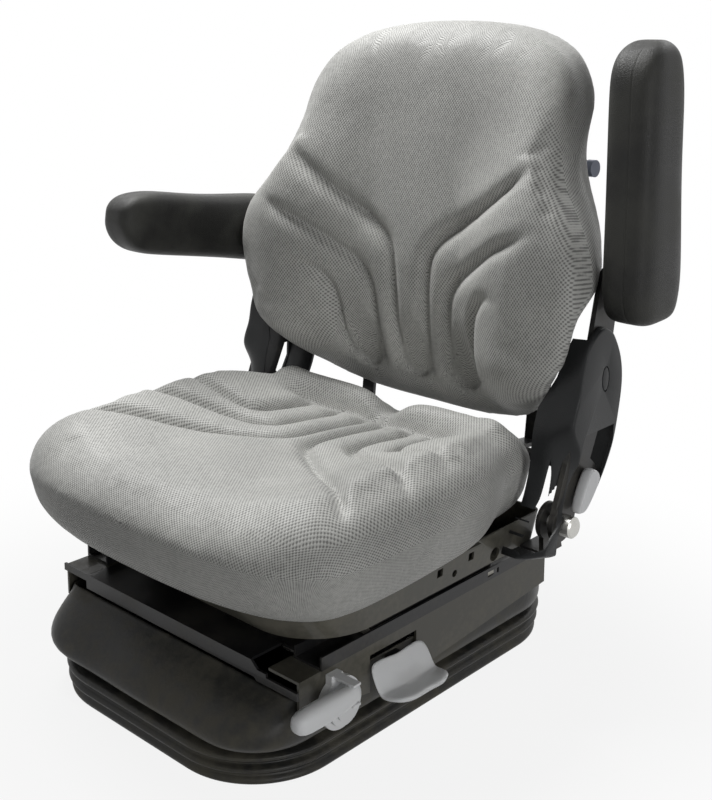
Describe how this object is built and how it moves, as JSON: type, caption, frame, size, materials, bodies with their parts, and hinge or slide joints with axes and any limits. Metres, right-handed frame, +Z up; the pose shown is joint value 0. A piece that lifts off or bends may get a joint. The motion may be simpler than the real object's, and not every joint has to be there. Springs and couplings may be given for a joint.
{
  "type": "tractor suspension seat",
  "caption": "Tractor seat on a low scissor suspension with a rubber bellows, slide rails, a reclining backrest with bolsters, folding armrests and side levers.",
  "frame": {"origin": "centre of the four base bolts, on the base plate's underside", "axes": "+Z up, the seat faces -Y, +X is the sitter's left"},
  "size_m": [0.651, 0.5777, 0.729],
  "materials": {
    "black_steel": "satin black paint",
    "olive_steel": "dull olive grey paint",
    "bare_steel": "zinc plated",
    "gaiter_rubber": "matt",
    "seat_fabric": "woven silver grey cloth",
    "cover_plastic": "fine grained",
    "arm_skin": "soft grained skin",
    "control_plastic": "pale grey",
    "roller_plastic": "nylon",
    "shell_plastic": "grained",
    "knob_plastic": "bluish white"
  },
  "bodies": {
    "base": {"base_plate": "black_steel", "gaiter": "gaiter_rubber", "base_tracks": "black_steel", "base_pivot_ears": "black_steel", "base_pivot_shaft": "bare_steel", "damper_tube": "black_steel"},
    "outer_arms": {"outer_arm_left": "black_steel", "outer_arm_right": "black_steel", "outer_cross_tube": "black_steel", "scissor_bolts": "bare_steel", "upper_axle": "bare_steel"},
    "inner_arms": {"inner_arm_left": "black_steel", "inner_arm_right": "black_steel", "inner_cross_tube": "black_steel", "lower_axle": "bare_steel"},
    "upper_rollers": {"upper_rollers": "roller_plastic"},
    "lower_rollers": {"lower_rollers": "roller_plastic"},
    "suspension_top": {"side_member_left": "olive_steel", "side_member_right": "olive_steel", "front_member": "black_steel", "rear_member": "black_steel", "deck": "black_steel", "upper_pivot_ears": "black_steel", "upper_pivot_shaft": "bare_steel", "damper_rod": "bare_steel", "weight_springs": "bare_steel", "spring_anchor": "black_steel", "lower_rail_left": "black_steel", "lower_rail_right": "black_steel", "crank_bearing": "black_steel", "lever_bracket": "black_steel"},
    "crank": {"crank_hub": "control_plastic"},
    "crank_grip": {"crank_grip": "control_plastic"},
    "fore_aft_lever": {"fore_aft_lever": "control_plastic", "lever_arm": "black_steel"},
    "seat": {"slide_shoes": "roller_plastic", "upper_rail_left": "black_steel", "upper_rail_right": "black_steel", "seat_pan": "olive_steel", "seat_cushion": "seat_fabric", "recliner_bracket_left": "black_steel", "recliner_bracket_right": "black_steel", "pivot_bolts": "bare_steel"},
    "backrest": {"side_plate_left": "black_steel", "side_plate_right": "black_steel", "backrest_frame": "black_steel", "backrest_shell": "shell_plastic", "backrest_cushion": "seat_fabric", "side_cover_left": "cover_plastic", "side_cover_right": "cover_plastic", "inner_cap_left": "cover_plastic", "inner_cap_right": "cover_plastic", "arm_bolts": "bare_steel"},
    "recline_lever": {"recline_lever": "control_plastic"},
    "lumbar_knob": {"lumbar_knob": "knob_plastic"},
    "armrest_left": {"armrest_left": "arm_skin"},
    "armrest_right": {"armrest_right": "arm_skin"}
  },
  "joints": [
    {"name": "suspension_travel", "type": "slide", "parent": "base", "child": "suspension_top", "axis": [0, 0, 1], "range_m": [0, 0.05], "stiffness_N_per_m": 2500, "deforming": ["gaiter", "weight_springs"]},
    {"name": "outer_arm_swing", "type": "hinge", "parent": "base", "child": "outer_arms", "pos_m": [0, 0.15, 0.015], "axis": [-1, 0, 0], "range_deg": [-0.5, 12]},
    {"name": "inner_arm_swing", "type": "hinge", "parent": "suspension_top", "child": "inner_arms", "pos_m": [0, 0.15, 0.0995], "axis": [1, 0, 0], "range_deg": [-0.5, 12]},
    {"name": "upper_roller_spin", "type": "hinge", "parent": "outer_arms", "child": "upper_rollers", "pos_m": [0, -0.13785, 0.0995], "axis": [1, 0, 0], "range_deg": [-5, 140]},
    {"name": "lower_roller_spin", "type": "hinge", "parent": "inner_arms", "child": "lower_rollers", "pos_m": [0, -0.13785, 0.015], "axis": [-1, 0, 0], "range_deg": [-5, 140]},
    {"name": "crank_turn", "type": "hinge", "parent": "suspension_top", "child": "crank", "pos_m": [0.19, -0.152, 0.076], "axis": [1, 0, 0], "range_deg": [-40, 45]},
    {"name": "crank_grip_fold", "type": "hinge", "parent": "crank", "child": "crank_grip", "pos_m": [0.2196, -0.158, 0.097], "axis": [0, 0, 1], "range_deg": [0, 90]},
    {"name": "fore_aft_lift", "type": "hinge", "parent": "suspension_top", "child": "fore_aft_lever", "pos_m": [0.158, -0.066, 0.09], "axis": [0, -1, 0], "range_deg": [0, 12], "stiffness_Nm_per_rad": 6, "springref_deg": -5.73},
    {"name": "fore_aft_slide", "type": "slide", "parent": "suspension_top", "child": "seat", "axis": [0, 1, 0], "range_m": [-0.075, 0.075]},
    {"name": "backrest_recline", "type": "hinge", "parent": "seat", "child": "backrest", "pos_m": [0, 0.136, 0.187], "axis": [1, 0, 0], "range_deg": [-24, 6]},
    {"name": "recline_lever_lift", "type": "hinge", "parent": "backrest", "child": "recline_lever", "pos_m": [0.26, 0.154, 0.208], "axis": [1, 0, 0], "range_deg": [0, 20], "stiffness_Nm_per_rad": 2, "springref_deg": -5.73},
    {"name": "lumbar_knob_turn", "type": "hinge", "parent": "backrest", "child": "lumbar_knob", "pos_m": [0.186, 0.28365, 0.5586], "axis": [1, 0, 0], "range_deg": [0, 270]},
    {"name": "armrest_left_fold", "type": "hinge", "parent": "backrest", "child": "armrest_left", "pos_m": [0.27, 0.217, 0.443], "axis": [1, 0, 0], "range_deg": [0, 81.4]},
    {"name": "armrest_right_fold", "type": "hinge", "parent": "backrest", "child": "armrest_right", "pos_m": [-0.27, 0.217, 0.443], "axis": [1, 0, 0], "range_deg": [-81.4, 0]}
  ],
  "couplings": [
    {"joint": "outer_arm_swing", "follows": "suspension_travel", "rad_per_m": 3.5874},
    {"joint": "inner_arm_swing", "follows": "suspension_travel", "rad_per_m": 3.5874},
    {"joint": "upper_roller_spin", "follows": "suspension_travel", "rad_per_m": 35.807},
    {"joint": "lower_roller_spin", "follows": "suspension_travel", "rad_per_m": 35.807}
  ]
}
